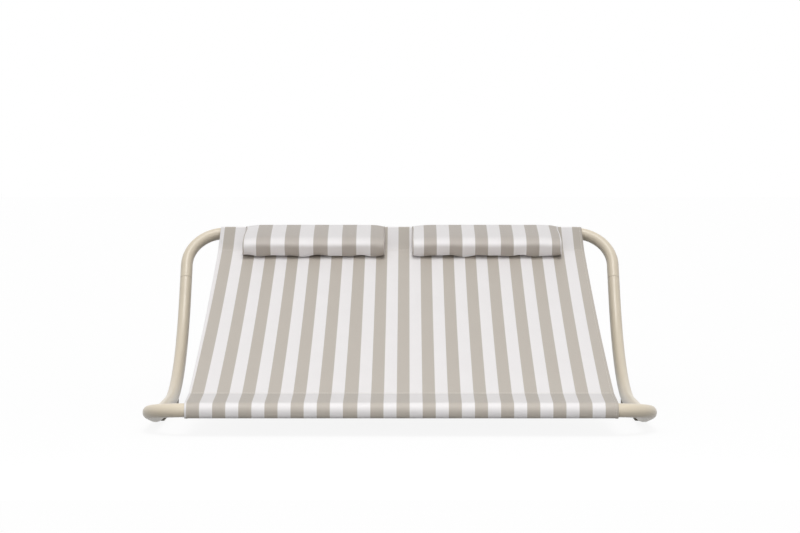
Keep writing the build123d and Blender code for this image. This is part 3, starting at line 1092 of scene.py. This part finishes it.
def piping(name, rings, front_line, front_u):
    """The sewn edge round each end of a pillow and the cord along its lower front seam."""
    points, faces, flats = [], [], []
    aside = np.array([1.0, 0.0, 0.0])
    first = 0
    for ring, u in rings:
        count = len(ring)
        step = unit(np.roll(ring, -1, 0) - np.roll(ring, 1, 0))
        outward = unit(np.cross(step, aside))
        outward *= np.sign(((ring - ring.mean(0)) * outward).sum(1))[:, None]
        points.append(cord_points(ring, piping_radius, outward, aside))
        number, side = quad_corners(count, cord_sides, (0, 3, 2, 1))
        faces += (first + number % count * cord_sides + side % cord_sides).tolist()
        flats.append(np.stack([np.full(number.shape, u), cell_flat * number], -1))
        first += count * cord_sides
    points.append(cord_points(front_line, seam_radius, down, up))
    last = len(front_line) - 1
    number, side = quad_corners(last, cord_sides)
    faces += (first + number * cord_sides + side % cord_sides).tolist()
    flats.append(np.stack([front_u[number], seam_flat * (side - side[:, :1])], -1))
    for number, order in ((0, -1), (last, 1)):
        faces.append([first + number * cord_sides + side for side in range(cord_sides)][::order])
        flats.append(np.full((cord_sides, 2), (front_u[number], 0.0)))
    return mesh_object(name, np.concatenate(points), faces, corner_flats=flats)


def build_pillow(place, leans, start, pitch, last_stripe, phase):
    """One head pillow with its sewn ends."""
    low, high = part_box("pillow_cover_" + place)
    left, width = low.x, high.x - low.x
    body = "pillow_" + place
    made, stations, ridge_at = pillow_mesh(body, left, width, leans)
    points = np.array([v.co for v in made.data.vertices])
    along, above = in_section(points)
    total = stations * ring_size
    first_ring, last_ring = slice(0, ring_size), slice(total - ring_size, total)
    front_edge = slice(along_cells, total, ring_size)
    held = above < seat_height(along) + held_height
    for part in (first_ring, last_ring, front_edge):
        held[part] = True
    points = simulate(made, np.flatnonzero(held), stations)
    points = soft_unevenness(points, left + width / 2, phase)
    points = keep_on_seat(points)
    made.data.vertices.foreach_set("co", points.astype(np.float32).ravel())
    made.data.update()
    smooth = made.modifiers.new("smooth", "SUBSURF")
    smooth.levels = 1
    smooth.render_levels = 1
    cloth = striped_cloth("pillow_stripes_" + place, start, pitch, True, ridge_at=ridge_at)
    dress(made, cloth)
    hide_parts("pillow_cover_" + place, "pillow_fill_" + place)
    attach(made, body)
    ends = ((points[first_ring], piping_stripe * pitch), (points[last_ring], last_stripe * pitch))
    front_line = points[front_edge]
    edges = piping("pillow_piping_" + place, ends, front_line, front_line[:, 0] - left)
    dress(edges, cloth)
    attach(edges, body)
    return cloth, left


# Flaps and pouches


def flap_object(name, line, normal, centre_x, left, lengths, cloth):
    """A strip of flap cloth along a line in the lengthwise plane, with turned side hems."""
    edge = np.array([0.0, 0.8, 1.8, 4.0, 6.8, 8.0, 10.0]) * millimetre
    across = columns_across(edge, flap_width, flap_columns)
    doubled = hem_at(across, flap_width)[1]
    thickness = flap_thickness + flap_hem_extra * doubled
    x = centre_x - flap_width / 2 + across
    points = np.repeat(line[:, None], len(across), 1)
    points[..., 0] = x
    normals = np.repeat(np.broadcast_to(normal, line.shape)[:, None], len(across), 1)
    points = points + normals * (flap_hem_extra / 2) * doubled[None, :, None]
    flat = np.stack(np.broadcast_arrays((x - left)[None, :], lengths[:, None]), -1)
    made = cloth_object(name, points, normals, thickness, flat)
    dress(made, cloth)
    return made


def pouch_object(name, centre, left, cloth):
    """A pouch sewn round the counterweight, drawn flat at its ends and up to its neck."""
    spread = math.acos(pouch_radius / pouch_neck)
    arc = on_circle(pouch_radius, np.linspace(math.pi / 2 - spread, -math.pi / 2, pouch_arc_points))
    right = np.concatenate([stretch((pouch_mouth, pouch_neck), arc[0], 0.003), arc])
    ring = np.concatenate([right, right[-2::-1] * (-1, 1)])
    count = len(ring)
    ends = np.linspace(pouch_even, 1, pouch_end_points)[1:]
    middle = np.linspace(-pouch_even, pouch_even, pouch_middle_points)
    share = np.concatenate([-ends[::-1], middle, ends])
    last = len(share) - 1
    thin = pouch_flat / pouch_radius
    squeeze = 1 - risen(np.abs(share), pouch_taper_start, pouch_taper)
    x = centre[0] + share * flap_width / 2
    y = centre[1] + ring[:, 0] * (thin + (1 - thin) * squeeze)[:, None]
    points = np.stack(np.broadcast_arrays(x[:, None], y, centre[2] + ring[:, 1]), -1)
    around = lengths_along(ring)
    around = np.append(around, around[-1] + 2 * pouch_mouth)
    number, side = quad_corners(last, count, (1, 0, 3, 2))
    faces = (number * count + side % count).tolist()
    flats = [np.stack([x[number] - left, around[side]], -1)]
    for number, order in ((0, 1), (last, -1)):
        for i in range(count // 2):
            corners = list(dict.fromkeys((i, i + 1, count - 2 - i, count - 1 - i)))[::order]
            faces.append([number * count + corner for corner in corners])
            flats.append(np.full((len(corners), 2), (x[number] - left, around[i])))
    made = mesh_object(name, points.reshape(-1, 3), faces, corner_flats=flats)
    dress(made, cloth)
    return made


def build_flap(place, cloth, left):
    """A pillow's flap over the head bar and the counterweight's pouch that hangs behind."""
    cover_low, cover_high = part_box("pillow_cover_" + place)
    centre_x = (cover_low.x + cover_high.x) / 2
    weight = "weight_" + place
    radius = loop_radius + cloth_thickness / 2 + flap_gap + flap_thickness / 2
    last = math.pi + bar_angle
    turns = np.linspace(sleeve_turn, last, wrap_points)
    arc = on_circle(radius, turns)
    line = in_place(arc[:, 0], arc[:, 1], 0.0)
    normal = (line - head_centre) / radius
    lengths = radius * (turns - sleeve_turn)
    wrap = flap_object("flap_wrap_cloth_" + place, line, normal, centre_x, left, lengths, cloth)
    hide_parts("flap_wrap_" + place)
    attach(wrap, "frame")

    share = np.linspace(0, 1, front_points)
    along = arc[0, 0] + (pillow_upper_end + flap_tuck - arc[0, 0]) * share
    above = arc[0, 1] + sleeve_fall * (along - arc[0, 0])
    line = in_place(along, above, 0.0)[::-1]
    normal = unit(up - sleeve_fall * down)
    lengths = -(along - along[0])[::-1]
    front = flap_object("flap_front_cloth_" + place, line, normal, centre_x, left, lengths, cloth)
    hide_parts("flap_front_" + place)
    start = in_place(along[0], above[0], centre_x)
    end = in_place(along[-1] - blend_inset, above[-1], centre_x)
    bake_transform(front)

    pouch_centre = middle_of("weight_bar_" + place)
    top = head_centre + np.array([0.0, radius, 0.0])
    bottom = np.array([0.0, pouch_centre[1], pouch_centre[2] + pouch_neck])
    share = np.linspace(0, 1, drop_points)[:, None]
    line = top + (bottom - top) * share
    line[:, 1] += drop_bow * np.sin(math.pi * share[:, 0]) ** 2
    normal = (0.0, 1.0, 0.0)
    lengths = radius * (last - sleeve_turn) + np.linalg.norm(line - line[0], axis=1)
    drop = flap_object("flap_drop_cloth_" + place, line, normal, centre_x, left, lengths, cloth)
    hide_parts("flap_drop_" + place)
    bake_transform(drop)

    pouch = pouch_object("weight_pouch_cloth_" + place, pouch_centre, left, cloth)
    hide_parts("weight_pouch_" + place)
    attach(pouch, weight)


pillows = {place: build_pillow(place, **look) for place, look in pillow_looks.items()}
for place, (cloth, left) in pillows.items():
    build_flap(place, cloth, left)


# Stage: pale floor, white surroundings, soft lamps and the camera


def make_world(low, high):
    """White where it is seen, and elsewhere a soft light that grows from the horizon upwards."""
    world = bpy.data.worlds.new("surroundings")
    bpy.context.scene.world = world
    tree = Tree(world)
    height = tree.split(tree.node("TexCoord").outputs["Generated"])[2]
    light = tree.node("Background", {"Color": white, "Strength": tree.between(height, low, high)})
    plain = tree.node("Background", {"Color": white, "Strength": 1.0})
    tree.end("OutputWorld", tree.either(tree.seen(), light.outputs[0], plain.outputs[0]))


def make_floor(half, shadow_share):
    """A pale floor: white where it is lit in full, and a little darker in the object's shadow."""
    corners = [(x * half, y * half, 0.0) for x, y in ((-1, -1), (1, -1), (1, 1), (-1, 1))]
    floor = mesh_object("floor", corners, [(0, 1, 2, 3)])
    material = bpy.data.materials.new("floor_white")
    tree = Tree(material)
    plain = tree.node("BsdfDiffuse", {"Color": floor_grey}).outputs[0]
    lit = tree.node("BsdfDiffuse", {"Color": white}).outputs[0]
    glow = tree.node("Emission", {"Color": white}).outputs[0]
    shown = tree.either(1 - shadow_share, lit, glow)
    tree.end("OutputMaterial", tree.either(tree.seen(), plain, shown))
    floor.data.materials.append(material)


def hang_lamp(name, light, place, towards):
    """A lamp at a place that shines one way."""
    lamp = add_object(name, light)
    lamp.location = place
    lamp.rotation_euler = Vector(towards).to_track_quat("-Z", "Y").to_euler()


def sun_lamp(name, elevation, spread, power):
    """A broad, even lamp far in front of the foot end."""
    light = bpy.data.lights.new(name, "SUN")
    light.energy = power
    light.angle = math.radians(spread)
    height = math.radians(elevation)
    hang_lamp(name, light, (0.0, 0.0, 0.0), (0.0, math.cos(height), -math.sin(height)))


def area_lamp(name, place, width, height, power):
    """A soft rectangular lamp in front of the foot end that shines straight at it."""
    light = bpy.data.lights.new(name, "AREA")
    light.shape = "RECTANGLE"
    light.size = width
    light.size_y = height
    light.energy = power
    hang_lamp(name, light, place, (0.0, 1.0, 0.0))


make_world(low=0.42, high=0.50)
make_floor(half=40.0, shadow_share=0.10)
sun_lamp("key", elevation=72, spread=24, power=1.16)
sun_lamp("front", elevation=35, spread=60, power=0.52)
area_lamp("foot_fill", (0.0, -1.95, 0.16), width=2.6, height=0.4, power=6.5)

camera_data = bpy.data.cameras.new("camera")
camera_data.lens = 112.5
camera_data.sensor_width = 36.0
camera_data.sensor_fit = "HORIZONTAL"
camera_data.clip_end = 200.0
camera = add_object("camera", camera_data)
camera.location = (0.0007, -7.4298, 0.7529)
camera.rotation_euler = (math.radians(87.5), 0.0, 0.0)
bpy.context.scene.camera = camera
bpy.context.scene.view_settings.view_transform = "Standard"
